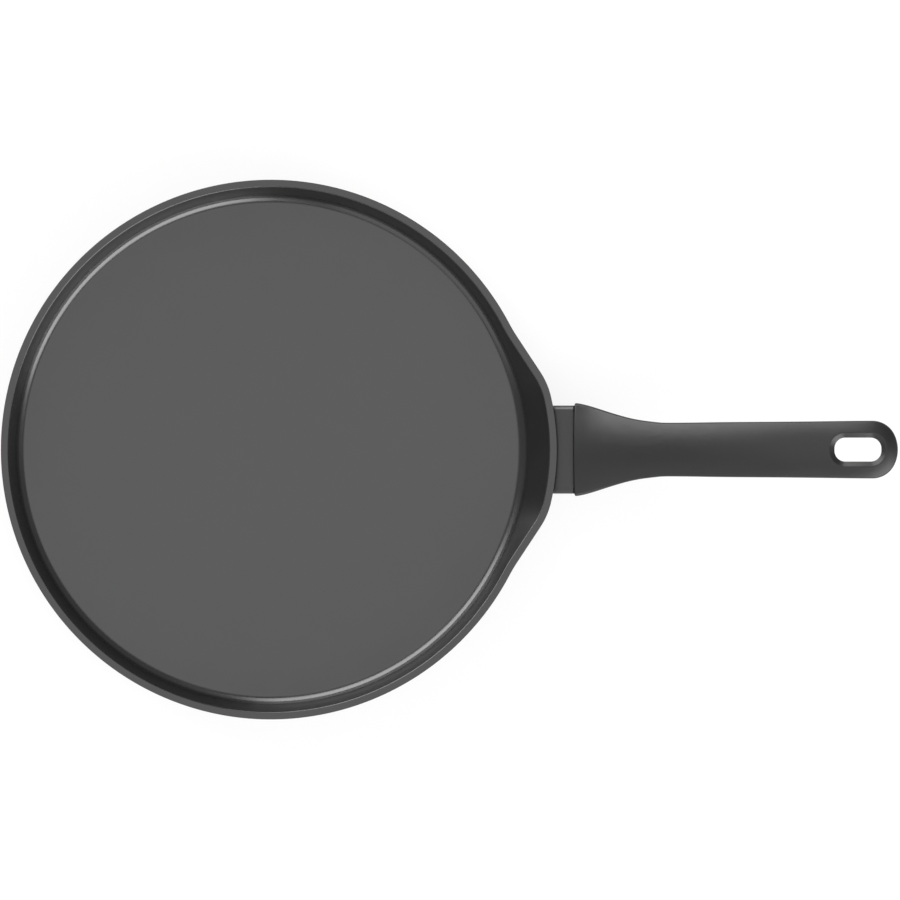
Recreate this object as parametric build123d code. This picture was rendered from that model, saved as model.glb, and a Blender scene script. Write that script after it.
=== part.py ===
from build123d import *

import os
from math import acos, asin, atan2, cos, degrees, radians, sin, sqrt, tan

# A crepe pan, in millimetres and degrees. The origin is the middle of the underside, on the surface that
# the pan stands on. +Z is up, +X runs along the handle, and the XZ plane halves the pan.

# Casting: a round pan with a low wall
inner_rim_diameter = 260.0
rim_width = 3.7
pan_height = 25.0
floor_thickness = 4.5
wall_flare = 4.5  # of the wall's inside, from the floor out to the rim
wall_foot = 2.5  # between the foot of the wall's inside and that of its outside
floor_fillet_radius = 5.2
heel_radius = 8.0
rim_inner_edge_radius = 0.7
rim_outer_edge_radius = 0.15

# Lobe of the rim towards the handle, seen from above
lobe_projection = 8.15
lobe_width = 66.4
lobe_end_radius = 119.0
lobe_corner_radius = 37.0
lobe_root_radius = 82.0
lobe_root_turn = 7.15  # between the round rim and the straight flank

# Perforated disc pressed into the underside
plate_diameter = 190.0
plate_thickness = 0.8
plate_hole_diameter = 6.0
plate_hole_pitch = 20.0  # between rings, and about the same along a ring
plate_edge_margin = 10.0
plate_holes_per_ring = 6  # more on each ring than on the one inside it
plate_clearance = 0.05

# Neck: a cast lug that tilts up, in a sheet metal flame guard
neck_pitch = 12.0
neck_length = 7.95
neck_drop = 1.8  # from the rim down to the top of the guard
guard_width = 43.7
guard_height = 13.0
guard_wall = 1.0
guard_corner_radius = 2.4
guard_wall_gap = 0.3
guard_mouth_gap = 0.65
lug_clearance = 0.15
seam_groove_width = 1.6  # of the step in the lug behind the handle's mouth
seam_groove_depth = 1.2

# Tang: the end of the lug, inside the handle
tang_root_width = 38.0
tang_tip_width = 22.0
tang_height = 7.0
tang_length = 28.0
tang_lift = 2.0  # of its middle above the neck's axis
tang_corner_radius = 1.5
socket_clearance = 0.3
socket_end_room = 1.0

# Handle, seen from above
handle_length = 160.8
mouth_width = 46.2
waist_width = 26.6
waist_from_mouth = 49.0
grip_width = 28.6
handle_end_radius = 17.3
handle_corner_radius = 12.1

# Handle, seen from the side
handle_rise = 32.0
handle_thickness = 20.0
top_crown = 10.5  # fall of the top from its middle to a little past the mouth's sides
bottom_crown = 2.5
crown_margin = 2.0
top_edge_radius = 1.6
bottom_edge_radius = 4.5
mouth_edge_radius = 0.7

# Hanging slot near the end of the handle
slot_length = 23.2
slot_width = 11.8
slot_corner_radius = 5.3
slot_end_web = 8.2
slot_bevel_width = 2.6
slot_bevel_depth = 1.8
slot_back_bevel = 1.2
slot_bevel_radius = 1.0

# Fixing: a screw from beneath, in a thread insert
screw_from_mouth = 13.0
screw_diameter = 5.0
screw_head_diameter = 9.5
screw_head_height = 2.8
screw_head_radius = 1.5
screw_tip_chamfer = 0.6
cross_length = 5.4
cross_width = 1.1
cross_depth = 1.6
spring_washer_diameter = 9.2
spring_washer_thickness = 1.2
spring_washer_slit = 0.8
flat_washer_diameter = 10.0
flat_washer_thickness = 1.0
washer_clearance = 0.15
recess_clearance = 0.5
seat_thickness = 2.3
handle_hole_clearance = 0.3
insert_diameter = 7.0
thread_clearance = 0.05

# How solids are placed: standing on their plane, or hanging below it
BASE = (Align.CENTER, Align.CENTER, Align.MIN)
HANGING = (Align.CENTER, Align.CENTER, Align.MAX)

# Shares of the way from mouth to waist and of the flare there, at points down each flank
flare_shares = (
    (0.092, 0.944),
    (0.214, 0.778),
    (0.355, 0.550),
    (0.515, 0.313),
    (0.676, 0.136),
    (0.837, 0.035),
)

# Shares of the way from waist to the end's corner and of the growth there
grip_shares = ((0.189, 0.23), (0.483, 0.48), (0.810, 0.82))

# Shares of the handle's length, rise, thickness and crown, at stations along it
station_shares = (
    (0.00, 0.000, 0.90, 0.27),
    (0.08, 0.093, 0.97, 0.62),
    (0.16, 0.200, 1.00, 0.80),
    (0.30, 0.408, 0.96, 1.00),
    (0.45, 0.618, 0.91, 1.00),
    (0.60, 0.788, 0.88, 1.00),
    (0.80, 0.942, 0.83, 1.00),
    (0.90, 1.005, 0.78, 1.00),
    (1.00, 0.966, 0.56, 0.70),
)

# Casting, worked out from the sizes above
floor_radius = inner_rim_diameter / 2 - wall_flare
base_radius = floor_radius + wall_foot
rim_radius = inner_rim_diameter / 2 + rim_width
lobe_reach = rim_radius + lobe_projection
lobe_end_centre = lobe_reach - lobe_end_radius
flank_distance = rim_radius * cos(radians(lobe_root_turn))

# Neck and handle, worked out in the same way
mouth_thickness = handle_thickness * station_shares[0][2]
handle_start = lobe_reach + neck_length
handle_tip = handle_start + handle_length
neck_slope = tan(radians(neck_pitch))
guard_half_drop = guard_height / 2 / cos(radians(neck_pitch))
spine_start = pan_height - neck_drop - guard_half_drop + neck_length * neck_slope
mouth_setback = mouth_thickness / 2 * sin(radians(neck_pitch)) * cos(radians(neck_pitch))
mouth_centre = Vector(handle_start + mouth_setback, 0, spine_start + mouth_setback * neck_slope)
neck_axis = Vector(cos(radians(neck_pitch)), 0, sin(radians(neck_pitch)))
neck_frame = Plane(origin=mouth_centre, x_dir=Vector(0, 1, 0), z_dir=neck_axis)
lug_length = (mouth_centre.X - base_radius) / cos(radians(neck_pitch))

# Fixing, stacked down from the underside of the tang along the screw
tang_bottom = tang_lift - tang_height / 2
seat_depth = socket_clearance + seat_thickness
flat_washer_depth = seat_depth + flat_washer_thickness
head_depth = flat_washer_depth + spring_washer_thickness
recess_diameter = flat_washer_diameter + 2 * recess_clearance
screw_origin = neck_frame.from_local_coords(Vector(0, tang_bottom, screw_from_mouth))
screw_frame = Plane(origin=screw_origin, x_dir=Vector(0, 1, 0), z_dir=neck_frame.y_dir)


def lobe_angles():
    """Angles about the pan's axis of the lobe: its end's arc, its flank's normal and its root."""
    half_width = lobe_width / 2
    corner_x = lobe_end_centre + sqrt(lobe_end_radius**2 - half_width**2)
    corner_distance = sqrt(corner_x**2 + half_width**2)
    flank = atan2(half_width, corner_x) + acos(flank_distance / corner_distance)
    inner_distance = flank_distance - lobe_corner_radius - lobe_end_centre * cos(flank)
    end = flank - acos(inner_distance / (lobe_end_radius - lobe_corner_radius))
    root = flank - acos((flank_distance + lobe_root_radius) / (rim_radius + lobe_root_radius))
    return degrees(end), degrees(flank), degrees(root)


def half_outline(inset):
    """Edges of the rim's outline, moved inwards by inset, from the end of the lobe to the back of the pan."""
    end_turn, flank_turn, root_turn = lobe_angles()
    to_corner = lobe_end_radius - lobe_corner_radius
    corner_centre = (
        lobe_end_centre + to_corner * cos(radians(end_turn)),
        to_corner * sin(radians(end_turn)),
    )
    to_root = rim_radius + lobe_root_radius
    root_centre = (to_root * cos(radians(root_turn)), to_root * sin(radians(root_turn)))
    end = CenterArc((lobe_end_centre, 0), lobe_end_radius - inset, 0, end_turn)
    corner = CenterArc(corner_centre, lobe_corner_radius - inset, end_turn, flank_turn - end_turn)
    root = CenterArc(root_centre, lobe_root_radius + inset, 180 + flank_turn, root_turn - flank_turn)
    flank = Line(corner @ 1, root @ 0)
    back = CenterArc((0, 0), rim_radius - inset, root_turn, 180 - root_turn)
    return [end, corner, flank, root, back]


def lobed_face(inset, height):
    """The area inside the rim's outline, moved inwards by inset, at a height."""
    upper = half_outline(inset)
    lower = [mirror(edge, about=Plane.XZ) for edge in upper]
    return Pos(0, 0, height) * make_face(upper + lower)


def round_face(radius, height):
    """A disc whose edge is split at the same angles as the rim's outline, so that walls run straight up."""
    starts = [edge @ 0 for edge in half_outline(0)]
    angles = [degrees(atan2(point.Y, point.X)) for point in starts] + [180]
    upper = [CenterArc((0, 0), radius, low, high - low) for low, high in zip(angles, angles[1:])]
    lower = [mirror(edge, about=Plane.XZ) for edge in upper]
    return Pos(0, 0, height) * make_face(upper + lower)


def at_height(shape, height):
    """Edges of a shape that lie wholly at a height."""
    return shape.edges().filter_by_position(Axis.Z, height, height)


def pan_envelope(growth=0):
    """The pan's outside as a solid, or one that stands proud of it by growth."""
    top = lobed_face(-growth, pan_height)
    bottom = round_face(base_radius + growth, 0)
    return loft([bottom, top], ruled=True)


def pan_hollow():
    """The space inside the pan, with its rounded floor edge."""
    top = lobed_face(rim_width, pan_height)
    bottom = round_face(floor_radius, floor_thickness)
    hollow = loft([bottom, top], ruled=True)
    return fillet(at_height(hollow, floor_thickness), floor_fillet_radius)


def plate_pins(radius):
    """Upright pins at the places of the plate's holes, as deep as the plate: rings that keep one pitch."""
    ring_count = int((plate_diameter / 2 - plate_edge_margin) / plate_hole_pitch)
    places = []
    for ring in range(1, ring_count + 1):
        places += PolarLocations(ring * plate_hole_pitch, ring * plate_holes_per_ring).locations
    return [place * Cylinder(radius, plate_thickness, align=BASE) for place in places]


def rounded_bar(width, height, radius, lift=0):
    """A rounded rectangle across the neck, lifted above its axis."""
    return Pos(0, lift) * RectangleRounded(width, height, radius)


def tang_solid(clearance, end_room):
    """The tang, or with clearance and room at its end the socket that takes it."""
    root_face = rounded_bar(
        tang_root_width + 2 * clearance,
        tang_height + 2 * clearance,
        tang_corner_radius + clearance,
        tang_lift,
    )
    tip_face = rounded_bar(
        tang_tip_width + 2 * clearance,
        tang_height + 2 * clearance,
        tang_corner_radius + clearance,
        tang_lift,
    )
    return loft([neck_frame * root_face, neck_frame.offset(tang_length + end_room) * tip_face], ruled=True)


def lug_solid():
    """The cast lug: a bar from inside the wall, a step behind the handle's mouth, and the tang past it."""
    shrink = guard_wall + lug_clearance
    corner = guard_corner_radius - shrink
    bar_width = guard_width - 2 * shrink
    bar_height = guard_height - 2 * shrink
    bar_face = rounded_bar(bar_width, bar_height, corner)
    step_face = rounded_bar(bar_width - 2 * seam_groove_depth, bar_height - 2 * seam_groove_depth, corner)
    bar = extrude(neck_frame.offset(-seam_groove_width) * bar_face, amount=seam_groove_width - lug_length)
    step = extrude(neck_frame * step_face, amount=-seam_groove_width)
    insert_hole = screw_frame * Cylinder(insert_diameter / 2, tang_height, align=BASE)
    return bar + step + tang_solid(0, 0) - insert_hole


def pan_body():
    """The casting: wall, floor, lobe and lug, with a recess and pegs for the base plate."""
    outside = pan_envelope()
    outside = fillet(at_height(outside, 0), heel_radius)
    outside = fillet(at_height(outside, pan_height), rim_outer_edge_radius)
    body = outside + lug_solid() - pan_hollow()
    rim = body.faces().filter_by_position(Axis.Z, pan_height, pan_height)[0]
    body = fillet(rim.inner_wires()[0].edges(), rim_inner_edge_radius)
    recess = Cylinder(plate_diameter / 2 + plate_clearance, plate_thickness, align=BASE)
    return body - recess + plate_pins(plate_hole_diameter / 2 - plate_clearance)


def base_plate():
    """The steel disc that lies flush in the underside."""
    disc = Cylinder(plate_diameter / 2, plate_thickness, align=BASE)
    return disc - plate_pins(plate_hole_diameter / 2)


def flame_guard():
    """The sleeve over the lug, cut to the slope of the wall."""
    outer = rounded_bar(guard_width, guard_height, guard_corner_radius)
    inner = rounded_bar(
        guard_width - 2 * guard_wall, guard_height - 2 * guard_wall, guard_corner_radius - guard_wall
    )
    sleeve = extrude(neck_frame.offset(-guard_mouth_gap) * (outer - inner), amount=-lug_length)
    return sleeve - pan_envelope(guard_wall_gap)


def handle_outline():
    """The handle seen from above, from a little before its mouth to its tip."""
    start = Vector(handle_start, mouth_width / 2)
    before = Vector(handle_start - neck_length, mouth_width / 2)
    waist = Vector(handle_start + waist_from_mouth, waist_width / 2)
    end_centre = handle_tip - handle_end_radius
    corner_y = grip_width / 2 - handle_corner_radius
    corner_swing = handle_end_radius - handle_corner_radius
    corner_x = end_centre + sqrt(corner_swing**2 - corner_y**2)
    corner_angle = degrees(asin(corner_y / corner_swing))
    grip_end = Vector(corner_x, grip_width / 2)
    flank = [
        Vector(start.X + along * (waist.X - start.X), waist.Y + share * (start.Y - waist.Y))
        for along, share in flare_shares
    ]
    palm = [
        Vector(waist.X + along * (grip_end.X - waist.X), waist.Y + share * (grip_end.Y - waist.Y))
        for along, share in grip_shares
    ]
    run_in = Line(before, start)
    shoulder = Spline(start, *flank, waist, tangents=[(1, 0), (1, 0)])
    grip = Spline(waist, *palm, grip_end, tangents=[(1, 0), (1, 0)])
    corner = CenterArc((corner_x, corner_y), handle_corner_radius, corner_angle, 90 - corner_angle)
    end = CenterArc((end_centre, 0), handle_end_radius, 0, corner_angle)
    upper = [run_in, shoulder, grip, corner, end]
    lower = [mirror(edge, about=Plane.XZ) for edge in upper]
    closing = Line(before, Vector(before.X, -before.Y))
    return make_face(upper + lower + [closing])


def station_face(x, middle, thickness, crown):
    """An upright section of the block that the handle is cut from: crowned above and below."""
    half = mouth_width / 2 + crown_margin
    top = middle + thickness / 2
    bottom = middle - thickness / 2
    top_side = top - crown * top_crown
    bottom_side = bottom + crown * bottom_crown
    over = ThreePointArc((x, -half, top_side), (x, 0, top), (x, half, top_side))
    under = ThreePointArc((x, -half, bottom_side), (x, 0, bottom), (x, half, bottom_side))
    sides = [Line(over @ 0, under @ 0), Line(over @ 1, under @ 1)]
    return make_face([over, under] + sides)


def handle_block():
    """The crowned block along the handle's S-curved spine, with a straight run before the mouth."""
    first = station_shares[0]
    sections = [
        station_face(
            handle_start - neck_length,
            spine_start - neck_length * neck_slope,
            handle_thickness * first[2],
            first[3],
        )
    ]
    for along, rise, thick, crown in station_shares:
        sections.append(
            station_face(
                handle_start + along * handle_length,
                spine_start + rise * handle_rise,
                handle_thickness * thick,
                crown,
            )
        )
    return loft(sections)


def widest_face(shape, above):
    """The crowned top of the handle, or where above is false its underside."""
    crowned = shape.faces().filter_by(GeomType.BSPLINE).sort_by(SortBy.AREA)[-2:]
    return crowned.sort_by(Axis.Z)[-1 if above else 0]


def past_mouth(face):
    """Edges of one of the handle's long faces, without the one in the mouth."""
    mouth_edge = face.edges().sort_by(Axis.X)[0]
    return face.edges() - [mouth_edge]


def slot_edges(shape, above):
    """Edges of the hanging slot on the handle's top, or where above is false on its underside."""
    return widest_face(shape, above).wires().sort_by(SortBy.LENGTH)[0].edges()


def handle_blank():
    """The handle without its holes: block, outline, mouth and rounded edges."""
    outline = extrude(handle_outline(), amount=pan_height + handle_rise + handle_thickness)
    before_mouth = neck_frame * Box(2 * mouth_width, 2 * mouth_width, lug_length, align=HANGING)
    blank = handle_block() & outline
    blank = blank - before_mouth
    blank = fillet(past_mouth(widest_face(blank, True)), top_edge_radius)
    blank = fillet(past_mouth(widest_face(blank, False)), bottom_edge_radius)
    mouth = blank.faces().filter_by(GeomType.PLANE).sort_by(Axis.X)[0]
    return fillet(mouth.edges(), mouth_edge_radius)


def hanging_slot(blank):
    """The handle with the slot cut through its end and bevelled on both sides."""
    middle = handle_tip - slot_end_web - slot_length / 2
    face = Pos(middle, 0) * RectangleRounded(slot_length, slot_width, slot_corner_radius)
    slotted = blank - extrude(face, amount=pan_height + handle_rise + handle_thickness)
    top = widest_face(slotted, True)
    slotted = chamfer(slot_edges(slotted, True), slot_bevel_width, slot_bevel_depth, reference=top)
    slotted = chamfer(slot_edges(slotted, False), slot_back_bevel)
    return fillet(slot_edges(slotted, True), slot_bevel_radius)


def handle():
    """The moulding, with its hanging slot, its socket, and the recess and hole for the screw."""
    body = hanging_slot(handle_blank())
    body -= tang_solid(socket_clearance, socket_end_room)
    recess = Pos(0, 0, -seat_depth) * Cylinder(recess_diameter / 2, handle_thickness, align=HANGING)
    hole = Cylinder(screw_diameter / 2 + handle_hole_clearance, seat_depth, align=HANGING)
    return body - screw_frame * recess - screw_frame * hole


def washer(outside, inside, thickness, depth):
    """A ring on the screw's axis, whose upper face lies at a depth below the tang."""
    ring = Cylinder(outside / 2, thickness, align=HANGING) - Cylinder(inside / 2, thickness, align=HANGING)
    return Pos(0, 0, -depth) * ring


def flat_washer():
    """The washer against the handle."""
    bore = screw_diameter + 2 * washer_clearance
    return screw_frame * washer(flat_washer_diameter, bore, flat_washer_thickness, seat_depth)


def spring_washer():
    """The split washer between the flat one and the screw's head."""
    bore = screw_diameter + 2 * washer_clearance
    ring = washer(spring_washer_diameter, bore, spring_washer_thickness, flat_washer_depth)
    slit = Pos(0, spring_washer_diameter / 2, -flat_washer_depth) * Box(
        spring_washer_slit, spring_washer_diameter, spring_washer_thickness, align=HANGING
    )
    return screw_frame * (ring - slit)


def handle_screw():
    """A pan-head screw with a cross recess, as long as its washers, the seat and the insert."""
    shank = Pos(0, 0, -head_depth) * Cylinder(screw_diameter / 2, head_depth + tang_height, align=BASE)
    shank = chamfer(shank.edges().sort_by(Axis.Z)[-1], screw_tip_chamfer)
    head = Pos(0, 0, -head_depth) * Cylinder(screw_head_diameter / 2, screw_head_height, align=HANGING)
    head = fillet(head.edges().sort_by(Axis.Z)[0], screw_head_radius)
    bottom = -head_depth - screw_head_height
    bar = Pos(0, 0, bottom) * Box(cross_length, cross_width, cross_depth, align=BASE)
    return screw_frame * (shank + head - bar - Rot(0, 0, 90) * bar)


def thread_insert():
    """The threaded tube in the tang, as long as the tang is high."""
    tube = Cylinder(insert_diameter / 2, tang_height, align=BASE)
    bore = Cylinder(screw_diameter / 2 + thread_clearance, tang_height, align=BASE)
    return screw_frame * (tube - bore)


if __name__ == "__main__":
    os.makedirs("parts", exist_ok=True)
    pieces = {
        "pan_body": pan_body(),
        "base_plate": base_plate(),
        "flame_guard": flame_guard(),
        "handle": handle(),
        "handle_screw": handle_screw(),
        "spring_washer": spring_washer(),
        "flat_washer": flat_washer(),
        "thread_insert": thread_insert(),
    }
    for name, shape in pieces.items():
        export_step(shape, f"parts/{name}.step")
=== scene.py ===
"""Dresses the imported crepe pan: its finishes, its finely modelled pieces, the studio and the camera.

Everything is in metres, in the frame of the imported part: the origin is the middle of the underside, +Z
is up and +X runs along the handle.
"""

import logging
from dataclasses import dataclass, field
from enum import Enum
from math import acos, atan2, cos, pi, radians, sin, sqrt, tan

import bmesh
import bpy
from mathutils import Matrix, Vector


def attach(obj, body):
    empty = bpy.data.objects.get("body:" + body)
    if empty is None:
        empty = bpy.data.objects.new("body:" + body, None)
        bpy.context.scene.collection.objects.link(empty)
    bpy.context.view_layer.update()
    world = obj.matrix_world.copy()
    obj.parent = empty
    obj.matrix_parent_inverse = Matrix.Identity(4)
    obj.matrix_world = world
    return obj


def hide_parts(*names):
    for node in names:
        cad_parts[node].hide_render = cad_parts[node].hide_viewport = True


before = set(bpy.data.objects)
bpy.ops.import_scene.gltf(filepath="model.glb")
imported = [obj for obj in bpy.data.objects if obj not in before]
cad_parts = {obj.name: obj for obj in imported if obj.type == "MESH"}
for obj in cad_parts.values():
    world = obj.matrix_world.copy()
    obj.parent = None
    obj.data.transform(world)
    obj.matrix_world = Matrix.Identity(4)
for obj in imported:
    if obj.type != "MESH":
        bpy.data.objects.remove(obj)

LOG = logging.getLogger("crepe_pan")
ROOT = "root"
SHARP_EDGE = radians(35.0)

Colour = tuple[float, float, float]
WHITE: Colour = (1.0, 1.0, 1.0)


class Node(Enum):
    """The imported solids."""

    PAN_BODY = "pan_body"
    BASE_PLATE = "base_plate"
    FLAME_GUARD = "flame_guard"
    HANDLE = "handle"
    HANDLE_SCREW = "handle_screw"
    SPRING_WASHER = "spring_washer"
    FLAT_WASHER = "flat_washer"
    THREAD_INSERT = "thread_insert"


class Slot(Enum):
    """The record's material slots; the welded copies carry one each but do not apply it, and the casting
    has none.
    """

    CASTING = "coated_casting"
    BASE = "base_steel"
    GUARD = "guard_metal"
    HANDLE = "handle_moulding"


class Wiring:
    """Adds nodes to a shader tree and joins them."""

    def __init__(self, tree: bpy.types.NodeTree) -> None:
        """Starts on a tree.

        Args:
            tree: The node tree of a material or of a group.
        """
        self.tree = tree

    def add(
        self, kind: str, inputs: dict[str | int, object] | None = None, **settings: object
    ) -> bpy.types.Node:
        """Adds a node, sets its own options and fills its inputs.

        Args:
            kind: The node's type, such as "ShaderNodeMath".
            inputs: Values or sockets by input name or number.
            settings: The node's own options.

        Returns:
            The new node.
        """
        node = self.tree.nodes.new(kind)
        for name, value in settings.items():
            setattr(node, name, value)
        for name, value in (inputs or {}).items():
            if isinstance(value, bpy.types.NodeSocket):
                self.tree.links.new(value, node.inputs[name])
            else:
                node.inputs[name].default_value = value
        return node

    def math(self, operation: str, first: object, second: object = 0.0) -> bpy.types.NodeSocket:
        """Joins two values.

        Args:
            operation: The sum to do, such as "MULTIPLY".
            first: A value or a socket.
            second: A value or a socket.

        Returns:
            The result's socket.
        """
        return self.add("ShaderNodeMath", {0: first, 1: second}, operation=operation).outputs[0]

    def remap(
        self, value: object, low: float, high: float, to_low: float = 0.0, to_high: float = 1.0
    ) -> bpy.types.NodeSocket:
        """Spreads a range of values over another one, held within it.

        Args:
            value: A value or a socket.
            low: Start of the range.
            high: End of the range.
            to_low: What the start becomes.
            to_high: What the end becomes.

        Returns:
            The result's socket.
        """
        inputs = {"Value": value, "From Min": low, "From Max": high, "To Min": to_low, "To Max": to_high}
        return self.add("ShaderNodeMapRange", inputs).outputs["Result"]

    def mix(self, factor: object, first: object, second: object) -> bpy.types.NodeSocket:
        """Mixes two colours.

        Args:
            factor: Share of the second one.
            first: A colour or a socket.
            second: A colour or a socket.

        Returns:
            The mixed colour's socket.
        """
        inputs = {0: factor, 6: first, 7: second}
        return self.add("ShaderNodeMix", inputs, data_type="RGBA").outputs[2]

    def noise(self, place: object, scale: float, detail: float = 2.0) -> bpy.types.NodeSocket:
        """Adds a noise pattern.

        Args:
            place: The coordinates' socket.
            scale: Waves in a metre.
            detail: How many finer waves are added.

        Returns:
            The pattern's value.
        """
        inputs = {"Vector": place, "Scale": scale, "Detail": detail}
        return self.add("ShaderNodeTexNoise", inputs).outputs[0]


def rgba(colour: Colour) -> tuple[float, float, float, float]:
    """A colour with full cover."""
    return (*colour, 1.0)


def grey(tone: float) -> Colour:
    """A neutral colour."""
    return (tone, tone, tone)


def new_group(
    name: str, values: dict[str, float], colours: tuple[str, ...], outputs: dict[str, str]
) -> Wiring:
    """Starts a shader node group with its sockets.

    Args:
        name: The group's name.
        values: Number inputs with their defaults.
        colours: Names of the colour inputs.
        outputs: Output names with their socket types.

    Returns:
        The wiring of the new group.
    """
    tree = bpy.data.node_groups.new(name, "ShaderNodeTree")
    for socket, default in values.items():
        made = tree.interface.new_socket(name=socket, in_out="INPUT", socket_type="NodeSocketFloat")
        made.default_value = default
    for socket in colours:
        tree.interface.new_socket(name=socket, in_out="INPUT", socket_type="NodeSocketColor")
    for socket, kind in outputs.items():
        tree.interface.new_socket(name=socket, in_out="OUTPUT", socket_type=kind)
    return Wiring(tree)


class Effects:
    """The shader groups that several finishes share, each built once."""

    GRAIN_RANGE: tuple[float, float] = (0.35, 0.7)
    DRIFT_RANGE: tuple[float, float] = (0.3, 0.7)
    DRIFT_WAVES: float = 28.0
    RUB_DETAIL: float = 5.0
    STREAK_RANGE: tuple[float, float] = (0.35, 0.65)
    STREAK_DETAIL: float = 3.0
    WALL_BLEND: float = 0.003

    def __init__(self) -> None:
        """Builds every group."""
        self.fleck = self._fleck()
        self.rub = self._rub()
        self.rings = self._rings()
        self.zones = self._zones()

    def _fleck(self) -> bpy.types.NodeTree:
        """Fine flecks in a coat or a moulding, over a slow change of tone.

        Returns:
            The group, which gives a colour and a height.
        """
        values = {"Scale": 2400.0, "Amount": 0.1, "Drift": 0.05}
        outputs = {"Color": "NodeSocketColor", "Height": "NodeSocketFloat"}
        wires = new_group("fleck", values, ("Base", "Fleck"), outputs)
        given = wires.add("NodeGroupInput").outputs
        place = wires.add("ShaderNodeTexCoord").outputs["Object"]
        fine = wires.noise(place, given["Scale"])
        slow = wires.noise(place, self.DRIFT_WAVES)
        share = wires.math("MULTIPLY", wires.remap(fine, *self.GRAIN_RANGE), given["Amount"])
        tone = wires.math("MULTIPLY", wires.remap(slow, *self.DRIFT_RANGE), given["Drift"])
        colour = wires.mix(wires.math("ADD", share, tone), given["Base"], given["Fleck"])
        wires.add("NodeGroupOutput", {"Color": colour, "Height": fine})
        return wires.tree

    def _rub(self) -> bpy.types.NodeTree:
        """Soft patches where use has rubbed a surface smoother.

        Returns:
            The group, which gives a roughness.
        """
        values = {"Roughness": 0.5, "Spread": 0.1, "Scale": 60.0}
        wires = new_group("rub", values, (), {"Roughness": "NodeSocketFloat"})
        given = wires.add("NodeGroupInput").outputs
        place = wires.add("ShaderNodeTexCoord").outputs["Object"]
        patches = wires.noise(place, given["Scale"], self.RUB_DETAIL)
        change = wires.math("MULTIPLY", wires.math("SUBTRACT", patches, 0.5), given["Spread"])
        rough = wires.math("ADD", given["Roughness"], change)
        wires.add("NodeGroupOutput", {"Roughness": rough})
        return wires.tree

    def _reach(self, wires: Wiring, parts: bpy.types.NodeOutputs) -> bpy.types.NodeSocket:
        """Distance from the pan's axis.

        Args:
            wires: The group's wiring.
            parts: The place's three coordinates.

        Returns:
            The distance's socket.
        """
        flat = wires.add("ShaderNodeCombineXYZ", {0: parts[0], 1: parts[1]}).outputs[0]
        return wires.add("ShaderNodeVectorMath", {0: flat}, operation="LENGTH").outputs["Value"]

    def _rings(self) -> bpy.types.NodeTree:
        """Fine rings round the pan's axis, as turning and brushing leave them.

        Returns:
            The group, which gives a mask and a height.
        """
        values = {"Rings": 900.0, "Blur": 0.56}
        outputs = {"Mask": "NodeSocketFloat", "Height": "NodeSocketFloat"}
        wires = new_group("rings", values, (), outputs)
        given = wires.add("NodeGroupInput").outputs
        place = wires.add("ShaderNodeTexCoord").outputs["Object"]
        parts = wires.add("ShaderNodeSeparateXYZ", {0: place}).outputs
        around = wires.math("ARCTAN2", parts[1], parts[0])
        line = wires.math("MULTIPLY", self._reach(wires, parts), given["Rings"])
        turn = wires.math("MULTIPLY", around, given["Blur"])
        track = wires.add("ShaderNodeCombineXYZ", {0: line, 1: turn}).outputs[0]
        streaks = wires.noise(track, 1.0, self.STREAK_DETAIL)
        mask = wires.remap(streaks, *self.STREAK_RANGE)
        wires.add("NodeGroupOutput", {"Mask": mask, "Height": streaks})
        return wires.tree

    def _zones(self) -> bpy.types.NodeTree:
        """Where a casting's flat rim, its wall and its turned foot lie.

        Returns:
            The group, which gives a mask of each.
        """
        values = {"Rim Level": 0.0249, "Wall Level": 0.0062, "Foot Level": 0.001, "Foot Reach": 0.121}
        outputs = dict.fromkeys(("Rim", "Wall", "Foot"), "NodeSocketFloat")
        wires = new_group("zones", values, (), outputs)
        given = wires.add("NodeGroupInput").outputs
        place = wires.add("ShaderNodeTexCoord").outputs["Object"]
        parts = wires.add("ShaderNodeSeparateXYZ", {0: place}).outputs
        # The flat rim top: the mask that takes the painted shade and that the wall leaves out.
        painted_shade_rim = wires.math("GREATER_THAN", parts[2], given["Rim Level"])
        risen = wires.math("SUBTRACT", parts[2], given["Wall Level"])
        above = wires.remap(risen, 0.0, self.WALL_BLEND)
        wall = wires.math("MULTIPLY", above, wires.math("SUBTRACT", 1.0, painted_shade_rim))
        low = wires.math("LESS_THAN", parts[2], given["Foot Level"])
        near = wires.math("LESS_THAN", self._reach(wires, parts), given["Foot Reach"])
        foot = wires.math("MULTIPLY", low, near)
        wires.add("NodeGroupOutput", {"Rim": painted_shade_rim, "Wall": wall, "Foot": foot})
        return wires.tree


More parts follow.
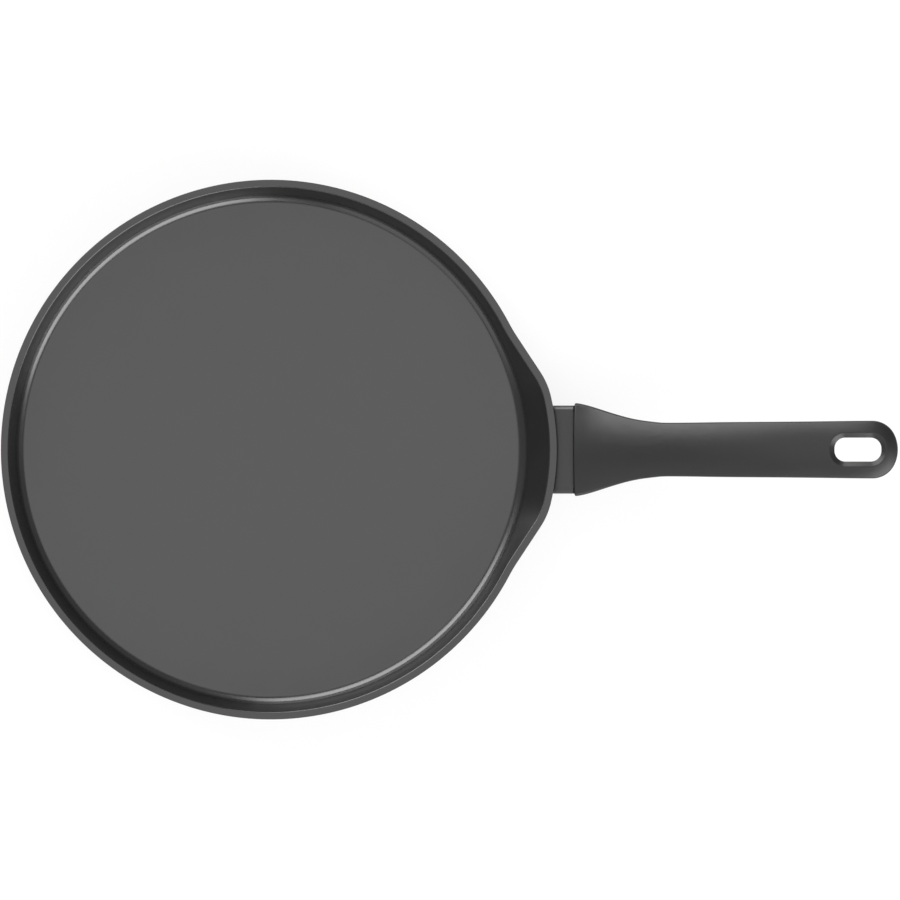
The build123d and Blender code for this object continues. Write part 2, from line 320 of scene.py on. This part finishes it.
class Finish:
    """A material: a Principled shader fed by the shared effects."""

    def start(self, name: str) -> tuple[bpy.types.Material, Wiring, bpy.types.Node]:
        """Makes an empty material.

        Args:
            name: The material's name.

        Returns:
            The material, its wiring and its Principled shader.
        """
        material = bpy.data.materials.new(name)
        material.use_nodes = True
        material.node_tree.nodes.clear()
        wires = Wiring(material.node_tree)
        shader = wires.add("ShaderNodeBsdfPrincipled")
        wires.add("ShaderNodeOutputMaterial", {"Surface": shader.outputs["BSDF"]})
        return material, wires, shader

    def use(
        self, wires: Wiring, group: bpy.types.NodeTree, inputs: dict[str, object]
    ) -> bpy.types.NodeOutputs:
        """Places a shared effect in a material.

        Args:
            wires: The material's wiring.
            group: The effect.
            inputs: Its values and colours.

        Returns:
            The effect's outputs.
        """
        node = wires.tree.nodes.new("ShaderNodeGroup")
        node.node_tree = group
        for name, value in inputs.items():
            node.inputs[name].default_value = value
        return node.outputs

    def bump(
        self, wires: Wiring, shader: bpy.types.Node, height: object, strength: float, depth: float
    ) -> None:
        """Raises a pattern on the surface.

        Args:
            wires: The material's wiring.
            shader: The shader whose normal is set.
            height: The pattern.
            strength: How much of it shows.
            depth: Its depth in metres.
        """
        made = wires.add("ShaderNodeBump", {"Strength": strength, "Distance": depth, "Height": height})
        wires.tree.links.new(made.outputs["Normal"], shader.inputs["Normal"])


@dataclass(frozen=True)
class SprayedCoat(Finish):
    """A matt sprayed coat with fine flecks."""

    base: Colour
    fleck: Colour
    roughness: float
    ior: float = 1.5
    amount: float = 0.3
    grain: float = 2400.0
    bump_strength: float = 0.25
    bump_depth: float = 0.00002

    def coat(
        self, wires: Wiring, shader: bpy.types.Node, effects: Effects
    ) -> tuple[bpy.types.NodeSocket, bpy.types.NodeSocket]:
        """Places the coat's effects, with its sheen and its bumps.

        Args:
            wires: The material's wiring.
            shader: The material's shader.
            effects: The shared effects.

        Returns:
            The coat's colour and its roughness.
        """
        inputs = {
            "Base": rgba(self.base),
            "Fleck": rgba(self.fleck),
            "Scale": self.grain,
            "Amount": self.amount,
        }
        fleck = self.use(wires, effects.fleck, inputs)
        rub = self.use(wires, effects.rub, {"Roughness": self.roughness})
        shader.inputs["IOR"].default_value = self.ior
        self.bump(wires, shader, fleck["Height"], self.bump_strength, self.bump_depth)
        return fleck["Color"], rub["Roughness"]

    def material(self, name: str, effects: Effects) -> bpy.types.Material:
        """Builds the coat.

        Args:
            name: The material's name.
            effects: The shared effects.

        Returns:
            The material.
        """
        made, wires, shader = self.start(name)
        colour, rough = self.coat(wires, shader, effects)
        wires.tree.links.new(colour, shader.inputs["Base Color"])
        wires.tree.links.new(rough, shader.inputs["Roughness"])
        return made


@dataclass(frozen=True)
class CastingCoat(SprayedCoat):
    """The casting's coat: painted shade darkens the flat rim top, rougher on the wall, turned away to
    metal at the foot.
    """

    # Painted shade: the flat rim top is coloured darker than the coat, standing in for shade on it.
    painted_shade_rim: Colour = grey(0.001)
    bare_light: Colour = (0.78, 0.78, 0.79)
    bare_dark: Colour = (0.6, 0.6, 0.61)
    bare_roughness: float = 0.34
    wall_roughness: float = 0.36

    def material(self, name: str, effects: Effects) -> bpy.types.Material:
        """Builds the coat and the bare metal.

        Args:
            name: The material's name.
            effects: The shared effects.

        Returns:
            The material.
        """
        made, wires, shader = self.start(name)
        colour, rough = self.coat(wires, shader, effects)
        rings = self.use(wires, effects.rings, {})
        zones = self.use(wires, effects.zones, {})
        bare = wires.mix(rings["Mask"], rgba(self.bare_dark), rgba(self.bare_light))
        # Painted shade: the flat rim top takes the darker colour.
        coated = wires.mix(zones["Rim"], colour, rgba(self.painted_shade_rim))
        wires.tree.links.new(wires.mix(zones["Foot"], coated, bare), shader.inputs["Base Color"])
        to_bare = wires.math("MULTIPLY", zones["Foot"], self.bare_roughness - self.roughness)
        to_wall = wires.math("MULTIPLY", zones["Wall"], self.wall_roughness - self.roughness)
        rough = wires.math("ADD", rough, wires.math("ADD", to_bare, to_wall))
        wires.tree.links.new(rough, shader.inputs["Roughness"])
        wires.tree.links.new(zones["Foot"], shader.inputs["Metallic"])
        return made


@dataclass(frozen=True)
class BrushedMetal(Finish):
    """Bare metal with fine rings from turning or brushing."""

    light: Colour
    dark: Colour
    roughness: float
    roughness_spread: float = 0.12
    bump_strength: float = 0.3
    bump_depth: float = 0.00002

    def material(self, name: str, effects: Effects) -> bpy.types.Material:
        """Builds the metal.

        Args:
            name: The material's name.
            effects: The shared effects.

        Returns:
            The material.
        """
        made, wires, shader = self.start(name)
        rings = self.use(wires, effects.rings, {})
        colour = wires.mix(rings["Mask"], rgba(self.dark), rgba(self.light))
        wires.tree.links.new(colour, shader.inputs["Base Color"])
        roughest = self.roughness + self.roughness_spread
        rough = wires.remap(rings["Mask"], 0.0, 1.0, self.roughness, roughest)
        wires.tree.links.new(rough, shader.inputs["Roughness"])
        shader.inputs["Metallic"].default_value = 1.0
        self.bump(wires, shader, rings["Height"], self.bump_strength, self.bump_depth)
        return made


@dataclass(frozen=True)
class SideLamp:
    """An upright soft lamp beside the pan, given by the angles in degrees that it fills for the pan."""

    name: str
    azimuth: float
    half_spread: float
    low: float = 10.0
    high: float = 52.0
    radiance: float = 5.5


@dataclass
class Studio:
    """Floor, lamps, camera and the white surroundings."""

    middle: Vector = field(default_factory=lambda: Vector((0.08878, -0.0002, 0.0)))
    view_width: float = 0.4457
    view_height: float = 3.0
    view_limit: float = 50.0
    floor_radius: float = 6.0
    floor_segments: int = 64
    paper_tone: float = 0.8
    white_share: float = 0.85
    room_light: float = 0.33
    overhead_place: Vector = field(default_factory=lambda: Vector((0.05, 0.0, 2.2)))
    overhead_size: float = 1.7
    overhead_radiance: float = 1.17
    lamp_distance: float = 2.0
    side_lamps: tuple[SideLamp, ...] = (
        SideLamp("lamp_lower_right", azimuth=308.0, half_spread=35.0),
        SideLamp("lamp_upper_left", azimuth=121.5, half_spread=34.0),
        SideLamp("fill_lower_left", azimuth=229.0, half_spread=27.0, low=4.0, high=56.0, radiance=0.9),
    )

    def build(self) -> None:
        """Sets up the whole studio."""
        self.camera()
        self.surroundings()
        self.floor()
        below = Vector((self.overhead_place.x, 0.0, 0.0))
        size = (self.overhead_size, self.overhead_size)
        self.lamp("overhead", self.overhead_place, below, size, self.overhead_radiance)
        for side in self.side_lamps:
            self.side_lamp(side)
        bpy.context.scene.view_settings.view_transform = "Standard"

    def camera(self) -> None:
        """Looks straight down, as the photograph does, with no perspective."""
        data = bpy.data.cameras.new("camera")
        data.type = "ORTHO"
        data.ortho_scale = self.view_width
        data.clip_end = self.view_limit
        camera = bpy.data.objects.new("camera", data)
        camera.location = self.middle + Vector((0.0, 0.0, self.view_height))
        bpy.context.scene.collection.objects.link(camera)
        bpy.context.scene.camera = camera

    def surroundings(self) -> None:
        """White behind everything for the camera, a dim grey room for the object."""
        world = bpy.data.worlds.new("room")
        bpy.context.scene.world = world
        world.use_nodes = True
        world.node_tree.nodes.clear()
        wires = Wiring(world.node_tree)
        seen = wires.add("ShaderNodeLightPath").outputs["Is Camera Ray"]
        strength = wires.remap(seen, 0.0, 1.0, self.room_light)
        shader = wires.add("ShaderNodeBackground", {"Color": rgba(WHITE), "Strength": strength})
        wires.add("ShaderNodeOutputWorld", {"Surface": shader.outputs[0]})

    def floor(self) -> None:
        """A wide pale floor that stays white to the camera but takes a faint shadow."""
        mesh = bpy.data.meshes.new("floor")
        made = bmesh.new()
        bmesh.ops.create_circle(
            made, cap_ends=True, segments=self.floor_segments, radius=self.floor_radius
        )
        made.to_mesh(mesh)
        made.free()
        floor = bpy.data.objects.new("floor", mesh)
        bpy.context.scene.collection.objects.link(floor)
        material = bpy.data.materials.new("floor_paper")
        material.use_nodes = True
        material.node_tree.nodes.clear()
        wires = Wiring(material.node_tree)
        light = wires.add("ShaderNodeLightPath").outputs
        mirrored = wires.math("MAXIMUM", light["Is Glossy Ray"], light["Is Transmission Ray"])
        seen = wires.math("MAXIMUM", light["Is Camera Ray"], mirrored)
        paper = wires.add("ShaderNodeBsdfDiffuse", {"Color": rgba(grey(self.paper_tone))}).outputs[0]
        white = wires.add("ShaderNodeEmission", {"Color": rgba(WHITE), "Strength": 1.0}).outputs[0]
        share = wires.math("MULTIPLY", seen, self.white_share)
        mixed = wires.add("ShaderNodeMixShader", {0: share, 1: paper, 2: white}).outputs[0]
        wires.add("ShaderNodeOutputMaterial", {"Surface": mixed})
        mesh.materials.append(material)

    def lamp(
        self, name: str, place: Vector, aim: Vector, size: tuple[float, float], radiance: float
    ) -> None:
        """Adds a soft rectangular lamp.

        Args:
            name: The lamp's name.
            place: Its middle.
            aim: The point that it faces.
            size: Its width and height.
            radiance: How bright its face is.
        """
        data = bpy.data.lights.new(name, "AREA")
        data.shape = "RECTANGLE"
        data.size, data.size_y = size
        data.energy = radiance * pi * size[0] * size[1]
        lamp = bpy.data.objects.new(name, data)
        lamp.location = place
        lamp.rotation_euler = (aim - place).to_track_quat("-Z", "Y").to_euler()
        bpy.context.scene.collection.objects.link(lamp)

    def side_lamp(self, side: SideLamp) -> None:
        """Stands a lamp beside the pan.

        Args:
            side: Where it stands and how bright it is.
        """
        turn = radians(side.azimuth)
        foot = self.lamp_distance * tan(radians(side.low))
        head = self.lamp_distance * tan(radians(side.high))
        width = 2.0 * self.lamp_distance * tan(radians(side.half_spread))
        level = (foot + head) / 2.0
        place = Vector((self.lamp_distance * cos(turn), self.lamp_distance * sin(turn), level))
        self.lamp(side.name, place, Vector((0.0, 0.0, level)), (width, head - foot), side.radiance)


def publish(
    name: str, made: bmesh.types.BMesh, finish: bpy.types.Material, stands_for: Node
) -> bpy.types.Object:
    """Makes an object of a finished mesh and hides the solid that it stands for.

    Args:
        name: The piece's name.
        made: Its mesh, which is freed.
        finish: Its material.
        stands_for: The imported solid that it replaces.

    Returns:
        The object.
    """
    bmesh.ops.recalc_face_normals(made, faces=made.faces)
    for face in made.faces:
        face.smooth = True
    for edge in made.edges:
        edge.smooth = edge.calc_face_angle(0.0) < SHARP_EDGE
    mesh = bpy.data.meshes.new(name)
    made.to_mesh(mesh)
    made.free()
    mesh.materials.append(finish)
    piece = bpy.data.objects.new(name, mesh)
    bpy.context.scene.collection.objects.link(piece)
    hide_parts(stands_for.value)
    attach(piece, ROOT)
    LOG.info("%s built with %d faces", name, len(mesh.polygons))
    return piece


@dataclass(frozen=True)
class Corner:
    """A corner of a section, with the radius that rounds it."""

    reach: float
    height: float
    radius: float = 0.0
    steps: int = 4

    @property
    def place(self) -> Vector:
        """The corner as a point of the section's plane."""
        return Vector((self.reach, self.height))


def rounded(before: Corner, corner: Corner, after: Corner, margin: float = 0.00012) -> list[Vector]:
    """Rounds a corner, with a narrow ring on each side that keeps the flats beside it flat.

    Args:
        before: The corner before it.
        corner: The corner to round.
        after: The corner after it.
        margin: Width of the narrow rings.

    Returns:
        The points round the corner, or the corner alone where its radius is zero.
    """
    if corner.radius == 0.0:
        return [corner.place]
    back = (before.place - corner.place).normalized()
    onward = (after.place - corner.place).normalized()
    half = back.angle(onward) / 2.0
    cut = corner.radius / tan(half)
    centre = corner.place + (back + onward).normalized() * (corner.radius / sin(half))
    first = (corner.place + back * cut - centre).normalized()
    last = (corner.place + onward * cut - centre).normalized()
    shares = [step / corner.steps for step in range(corner.steps + 1)]
    arc = [centre + first.slerp(last, share) * corner.radius for share in shares]
    return [arc[0] + back * margin, *arc, arc[-1] + onward * margin]


@dataclass(frozen=True)
class RimOutline:
    """The rim seen from above: round, with a lobe on arcs and straight flanks towards +X."""

    radius: float = 0.1337
    projection: float = 0.00815
    width: float = 0.0664
    end_radius: float = 0.119
    corner_radius: float = 0.037
    root_radius: float = 0.082
    root_turn: float = 7.15

    def _turns(self) -> tuple[float, float, float]:
        """Angles about the pan's axis of the end's arc, the flank's normal and the root."""
        end_centre = self.radius + self.projection - self.end_radius
        flank_distance = self.radius * cos(radians(self.root_turn))
        half_width = self.width / 2.0
        corner = Vector((end_centre + sqrt(self.end_radius**2 - half_width**2), half_width))
        flank = atan2(corner.y, corner.x) + acos(flank_distance / corner.length)
        inner = flank_distance - self.corner_radius - end_centre * cos(flank)
        end = flank - acos(inner / (self.end_radius - self.corner_radius))
        root = flank - acos((flank_distance + self.root_radius) / (self.radius + self.root_radius))
        return end, flank, root

    def reach(self, angle: float, inset: float) -> float:
        """Distance from the pan's axis to the outline.

        Args:
            angle: Direction from +X, in radians.
            inset: How far inside the rim's edge the outline runs.

        Returns:
            The distance.
        """
        end_turn, flank_turn, root_turn = self._turns()
        turn = abs(angle)
        end = Vector((self.radius + self.projection - self.end_radius, 0.0))
        spread = self.end_radius - self.corner_radius
        corner = end + spread * Vector((cos(end_turn), sin(end_turn)))
        root = (self.radius + self.root_radius) * Vector((cos(root_turn), sin(root_turn)))
        normal = Vector((cos(flank_turn), sin(flank_turn)))
        end_stop = end + (self.end_radius - inset) * Vector((cos(end_turn), sin(end_turn)))
        corner_stop = corner + (self.corner_radius - inset) * normal
        root_start = root - (self.root_radius + inset) * normal
        if turn >= root_turn:
            return self.radius - inset
        if turn <= atan2(end_stop.y, end_stop.x):
            return self._to_circle(turn, end, self.end_radius - inset, 1.0)
        if turn <= atan2(corner_stop.y, corner_stop.x):
            return self._to_circle(turn, corner, self.corner_radius - inset, 1.0)
        if turn <= atan2(root_start.y, root_start.x):
            return corner_stop.dot(normal) / cos(flank_turn - turn)
        return self._to_circle(turn, root, self.root_radius + inset, -1.0)

    def _to_circle(self, turn: float, centre: Vector, radius: float, side: float) -> float:
        """Distance from the axis to a circle.

        Args:
            turn: Direction of the ray.
            centre: The circle's centre.
            radius: The circle's radius.
            side: 1 for the far crossing, -1 for the near one.

        Returns:
            The distance along the ray.
        """
        along = centre.dot(Vector((cos(turn), sin(turn))))
        return along + side * sqrt(along**2 - centre.length_squared + radius**2)


@dataclass
class Casting:
    """The pan: its wall and floor spun from one section, its turned foot, its pegs, its lug and tang."""

    finish: bpy.types.Material
    outline: RimOutline = field(default_factory=RimOutline)
    turns: int = 384
    rim_width: float = 0.0037
    height: float = 0.025
    floor: float = 0.0045
    floor_radius: float = 0.1255
    floor_cut: float = 0.004181
    rim_inner_edge: float = 0.0007
    rim_outer_edge: float = 0.00015
    base_radius: float = 0.128
    heel: float = 0.008
    foot_radius: float = 0.119
    groove_pitch: float = 0.0015
    groove_depth: float = 0.00012
    grooves: int = 14
    groove_shares: tuple[tuple[float, float], ...] = (
        (0.0, 0.0),
        (0.25, 0.6),
        (0.5, 1.0),
        (0.75, 0.6),
    )
    plate_radius: float = 0.09505
    plate_depth: float = 0.0008
    recess_edge: float = 0.00015
    recess_root: float = 0.0001
    peg_radius: float = 0.00295
    peg_segments: int = 24
    peg_overlap: float = 0.0003
    peg_rings: int = 4
    peg_pitch: float = 0.02
    pegs_per_ring: int = 6

    def section(self, angle: float) -> list[Vector]:
        """The section from the middle of the floor, over the rim, to the middle of the underside.

        Args:
            angle: Direction of the section from +X, in radians.

        Returns:
            Its points, as many at every angle.
        """
        outside = self.outline.reach(angle, 0.0)
        inside = self.outline.reach(angle, self.rim_width)
        wall = Vector((inside - self.floor_radius, self.height - self.floor))
        fillet = self.floor_cut / tan(atan2(wall.y, wall.x) / 2.0)
        corners = [
            Corner(0.0, self.floor),
            Corner(self.floor_radius, self.floor, fillet, steps=16),
            Corner(inside, self.height, self.rim_inner_edge, steps=8),
            Corner(outside, self.height, self.rim_outer_edge, steps=4),
            Corner(self.base_radius, 0.0, self.heel, steps=12),
        ]
        for groove in range(self.grooves):
            start = self.foot_radius - groove * self.groove_pitch
            for along, deep in self.groove_shares:
                corners.append(Corner(start - self.groove_pitch * along, self.groove_depth * deep))
        corners += [
            Corner(self.foot_radius - self.grooves * self.groove_pitch, 0.0),
            Corner(self.plate_radius, 0.0, self.recess_edge, steps=2),
            Corner(self.plate_radius, self.plate_depth, self.recess_root, steps=2),
            Corner(0.0, self.plate_depth),
        ]
        points = [corners[0].place]
        for before, corner, after in zip(corners, corners[1:], corners[2:]):
            points += rounded(before, corner, after)
        return points + [corners[-1].place]

    def spun(self) -> bmesh.types.BMesh:
        """Spins the round section, then moves every point to the section of its own angle.

        Returns:
            The mesh of the wall, the floor and the foot.
        """
        made = bmesh.new()
        station = made.verts.layers.int.new("station")
        last = None
        for number, point in enumerate(self.section(pi)):
            vert = made.verts.new((point.x, 0.0, point.y))
            vert[station] = number
            if last:
                made.edges.new((last, vert))
            last = vert
        bmesh.ops.spin(
            made,
            geom=made.verts[:] + made.edges[:],
            cent=(0.0, 0.0, 0.0),
            axis=(0.0, 0.0, 1.0),
            angle=2.0 * pi,
            steps=self.turns,
            use_merge=True,
        )
        bmesh.ops.remove_doubles(made, verts=made.verts, dist=1e-7)
        sections: dict[float, list[Vector]] = {}
        for vert in made.verts:
            turn = round(abs(atan2(vert.co.y, vert.co.x)), 6)
            if turn not in sections:
                sections[turn] = self.section(turn)
            point = sections[turn][vert[station]]
            heading = Vector((vert.co.x, vert.co.y, 0.0)).normalized()
            vert.co = heading * point.x + Vector((0.0, 0.0, point.y))
        return made

    def add_pegs(self, made: bmesh.types.BMesh) -> None:
        """Adds the pegs that the pressed plate grips.

        Args:
            made: The casting's mesh.
        """
        root = self.plate_depth + self.peg_overlap
        for ring in range(1, self.peg_rings + 1):
            count = ring * self.pegs_per_ring
            for number in range(count):
                turn = 2.0 * pi * number / count
                reach = ring * self.peg_pitch
                place = Matrix.Translation((reach * cos(turn), reach * sin(turn), root))
                ends = bmesh.ops.create_circle(
                    made, cap_ends=True, segments=self.peg_segments, radius=self.peg_radius, matrix=place
                )["verts"]
                face = ends[0].link_faces[0]
                grown = bmesh.ops.extrude_face_region(made, geom=[face])["geom"]
                tip = [item for item in grown if isinstance(item, bmesh.types.BMVert)]
                bmesh.ops.translate(made, verts=tip, vec=(0.0, 0.0, -root))

    def build(self) -> None:
        """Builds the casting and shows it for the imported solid."""
        made = self.spun()
        self.add_pegs(made)
        Lug().add(made)
        publish("pan_casting", made, self.finish, Node.PAN_BODY)


@dataclass
class Lug:
    """The lug inside the flame guard and its tang inside the handle, along the tilted neck."""

    pitch: float = 12.0
    mouth: tuple[float, float, float] = (0.151630, 0.0, 0.018634)
    groove_width: float = 0.0016
    groove_depth: float = 0.0012
    bar_length: float = 0.0145
    wall_reach: float = 0.1265
    wall_lean: float = 0.554
    bar_width: float = 0.0414
    bar_height: float = 0.0107
    bar_edge: float = 0.00125
    bar_edge_steps: int = 4
    nearly_parallel: float = 0.99
    tang_root: float = 0.038
    tang_tip: float = 0.022
    tang_height: float = 0.007
    tang_length: float = 0.028
    tang_lift: float = 0.002
    tang_overlap: float = 0.001
    hole_segments: int = 32
    insert_radius: float = 0.0035
    insert_from_mouth: float = 0.013

    def frame(self) -> Matrix:
        """The neck's frame: X along the neck, Y across it, Z up from it."""
        return Matrix.Translation(self.mouth) @ Matrix.Rotation(radians(-self.pitch), 4, "Y")

    def add(self, made: bmesh.types.BMesh) -> None:
        """Adds the bar and the tang.

        Args:
            made: The casting's mesh.
        """
        self._bar(made)
        self._tang(made)

    def _rectangle(
        self, made: bmesh.types.BMesh, start: float, end: float, width: float, height: float
    ) -> list[bmesh.types.BMVert]:
        """Draws a flat rectangle along the neck.

        Args:
            made: The casting's mesh.
            start: Where it starts, along the neck from the mouth.
            end: Where it ends.
            width: Its width.
            height: Its height above the neck's axis.

        Returns:
            Its corners.
        """
        middle = Matrix.Translation(((start + end) / 2.0, 0.0, height))
        place = self.frame() @ middle @ Matrix.Diagonal((end - start, width, 1.0, 1.0))
        return bmesh.ops.create_grid(made, x_segments=1, y_segments=1, size=0.5, matrix=place)["verts"]

    def _raise(
        self, made: bmesh.types.BMesh, faces: list[bmesh.types.BMFace], height: float
    ) -> list[bmesh.types.BMVert]:
        """Raises flat faces into a solid.

        Args:
            made: The casting's mesh.
            faces: The faces.
            height: How far they rise.

        Returns:
            The raised points.
        """
        grown = bmesh.ops.extrude_face_region(made, geom=faces)["geom"]
        top = [item for item in grown if isinstance(item, bmesh.types.BMVert)]
        bmesh.ops.translate(made, verts=top, vec=self.frame().to_3x3() @ Vector((0.0, 0.0, height)))
        return top

    def _bar(self, made: bmesh.types.BMesh) -> None:
        """Adds the bar, from inside the wall to a step behind the handle's mouth, and the step.

        Args:
            made: The casting's mesh.
        """
        step_height = self.bar_height - 2.0 * self.groove_depth
        step_width = self.bar_width - 2.0 * self.groove_depth
        step = self._rectangle(made, -2.0 * self.groove_width, 0.0, step_width, -step_height / 2.0)
        self._raise(made, [step[0].link_faces[0]], step_height)
        end = -self.groove_width
        corners = self._rectangle(made, -self.bar_length, end, self.bar_width, -self.bar_height / 2.0)
        top = self._raise(made, [corners[0].link_faces[0]], self.bar_height)
        along = self.frame().to_3x3() @ Vector((1.0, 0.0, 0.0))
        inverse = self.frame().inverted()
        for vert in corners + top:
            if (inverse @ vert.co).x < -self.bar_length / 2.0:
                vert.co += along * self._to_wall(vert.co, along)
        edges = dict.fromkeys(edge for vert in corners + top for edge in vert.link_edges)
        bmesh.ops.bevel(
            made,
            geom=[edge for edge in edges if self._runs_along(edge, along)],
            offset=self.bar_edge,
            segments=self.bar_edge_steps,
            profile=0.5,
            affect="EDGES",
            material=-1,
        )

    def _runs_along(self, edge: bmesh.types.BMEdge, along: Vector) -> bool:
        """Whether an edge runs along the neck.

        Args:
            edge: The edge.
            along: The neck's direction.

        Returns:
            True for an edge that does.
        """
        heading = (edge.verts[1].co - edge.verts[0].co).normalized()
        return abs(heading.dot(along)) > self.nearly_parallel

    def _to_wall(self, point: Vector, along: Vector) -> float:
        """How far a point is from the middle of the pan's wall, along the neck.

        Args:
            point: A corner of the bar's end.
            along: The neck's direction.

        Returns:
            The distance, below zero towards the pan.
        """
        bow = point.y**2 / (2.0 * self.wall_reach)
        wall = self.wall_reach - bow + self.wall_lean * point.z
        return (wall - point.x) / (along.x - self.wall_lean * along.z)

    def _tang(self, made: bmesh.types.BMesh) -> None:
        """Adds the tapered tang, with the hole that takes the thread insert.

        Args:
            made: The casting's mesh.
        """
        bottom = self.tang_lift - self.tang_height / 2.0
        corners = self._rectangle(made, -self.tang_overlap, self.tang_length, self.tang_root, bottom)
        inverse = self.frame().inverted()
        for vert in corners:
            local = inverse @ vert.co
            if local.x > 0.0:
                local.y *= self.tang_tip / self.tang_root
            vert.co = self.frame() @ local
        bmesh.ops.delete(made, geom=corners[0].link_faces[:], context="FACES_ONLY")
        sides = list({edge for vert in corners for edge in vert.link_edges})
        cuts = self.hole_segments // 4 - 1
        split = bmesh.ops.subdivide_edges(made, edges=sides, cuts=cuts)["geom_split"]
        outer = [item for item in split if isinstance(item, bmesh.types.BMEdge)]
        place = self.frame() @ Matrix.Translation((self.insert_from_mouth, 0.0, bottom))
        ring = bmesh.ops.create_circle(
            made, segments=self.hole_segments, radius=self.insert_radius, matrix=place
        )["verts"]
        inner = list({edge for vert in ring for edge in vert.link_edges})
        faces = bmesh.ops.bridge_loops(made, edges=outer + inner)["faces"]
        self._raise(made, faces, self.tang_height)


@dataclass(frozen=True)
class WeldedCopy:
    """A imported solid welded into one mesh, whose broad faces keep their shading beside narrow ones."""

    name: str
    node: Node
    slot: Slot
    finish: bpy.types.Material
    weld: float = 1e-6

    def build(self) -> None:
        """Copies the solid, welds it and shows it for the solid."""
        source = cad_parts[self.node.value]
        made = bmesh.new()
        made.from_mesh(source.data)
        made.transform(source.matrix_world)
        bmesh.ops.remove_doubles(made, verts=made.verts, dist=self.weld)
        piece = publish(self.name, made, self.finish, self.node)
        shading = piece.modifiers.new("shading", "WEIGHTED_NORMAL")
        shading.mode = "FACE_AREA"
        shading.keep_sharp = True


def dress(node: Node, material: bpy.types.Material) -> None:
    """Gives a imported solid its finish.

    Args:
        node: The solid.
        material: Its finish.
    """
    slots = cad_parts[node.value].data.materials
    slots.clear()
    slots.append(material)
    LOG.info("%s dressed", node.value)


def main() -> None:
    """Builds the dressed pan and its studio."""
    logging.basicConfig(level=logging.INFO)
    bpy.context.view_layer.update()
    Studio().build()
    effects = Effects()
    coat = CastingCoat(base=grey(0.006), fleck=grey(0.014), roughness=0.24, ior=1.7)
    sheet = SprayedCoat(base=grey(0.019), fleck=grey(0.03), roughness=0.33)
    moulding = SprayedCoat(base=grey(0.004), fleck=grey(0.008), roughness=0.4)
    steel = BrushedMetal(light=(0.62, 0.62, 0.61), dark=(0.5, 0.5, 0.49), roughness=0.3)
    zinc = BrushedMetal(light=grey(0.6), dark=grey(0.45), roughness=0.35)
    coated = coat.material("non_stick_coat", effects)
    sprayed = sheet.material("guard_coat", effects)
    moulded = moulding.material("moulding", effects)
    brushed = steel.material("base_steel", effects)
    plated = zinc.material("zinc", effects)
    Casting(coated).build()
    WeldedCopy("neck_sleeve", Node.FLAME_GUARD, Slot.GUARD, sprayed).build()
    WeldedCopy("grip_moulding", Node.HANDLE, Slot.HANDLE, moulded).build()
    WeldedCopy("induction_disc", Node.BASE_PLATE, Slot.BASE, brushed).build()
    for node in (Node.HANDLE_SCREW, Node.SPRING_WASHER, Node.FLAT_WASHER, Node.THREAD_INSERT):
        dress(node, plated)


if __name__ == "__main__":
    main()
